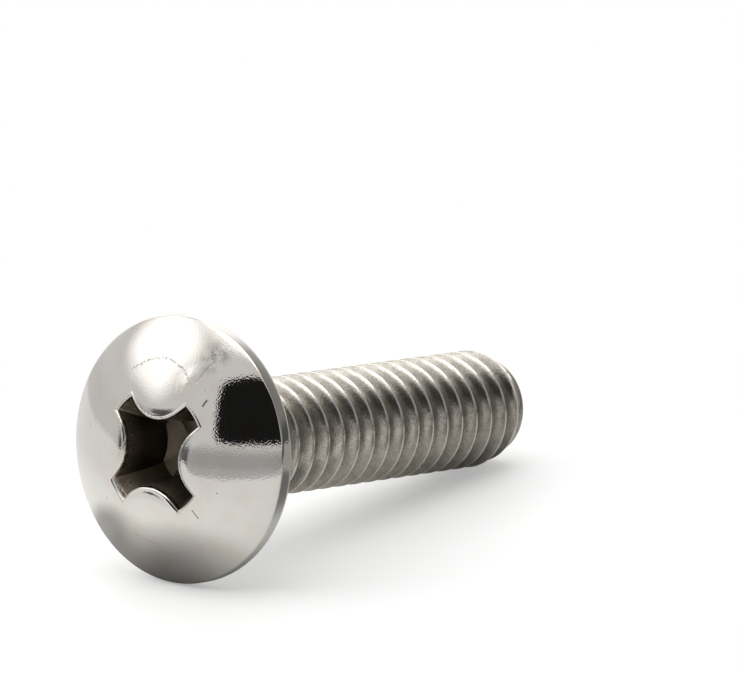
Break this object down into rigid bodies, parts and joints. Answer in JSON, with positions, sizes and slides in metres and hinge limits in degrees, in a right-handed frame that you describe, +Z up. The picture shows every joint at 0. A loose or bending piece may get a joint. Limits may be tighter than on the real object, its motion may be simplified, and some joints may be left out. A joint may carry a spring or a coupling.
{
  "type": "truss head screw",
  "caption": "Truss head machine screw with a wide low dome, a cross recess and a thread along its whole shank, lying on its side.",
  "frame": {"origin": "centre of the bearing face under the head, where it meets the screw's axis", "axes": "+X level, the way the shank points, which dips 9.4 degrees below it; +Z up"},
  "size_m": [0.029, 0.0142, 0.014],
  "materials": {
    "stainless_steel": "polished head, satin rolled thread"
  },
  "bodies": {
    "root": {"truss_head_screw": "stainless_steel"}
  },
  "joints": []
}
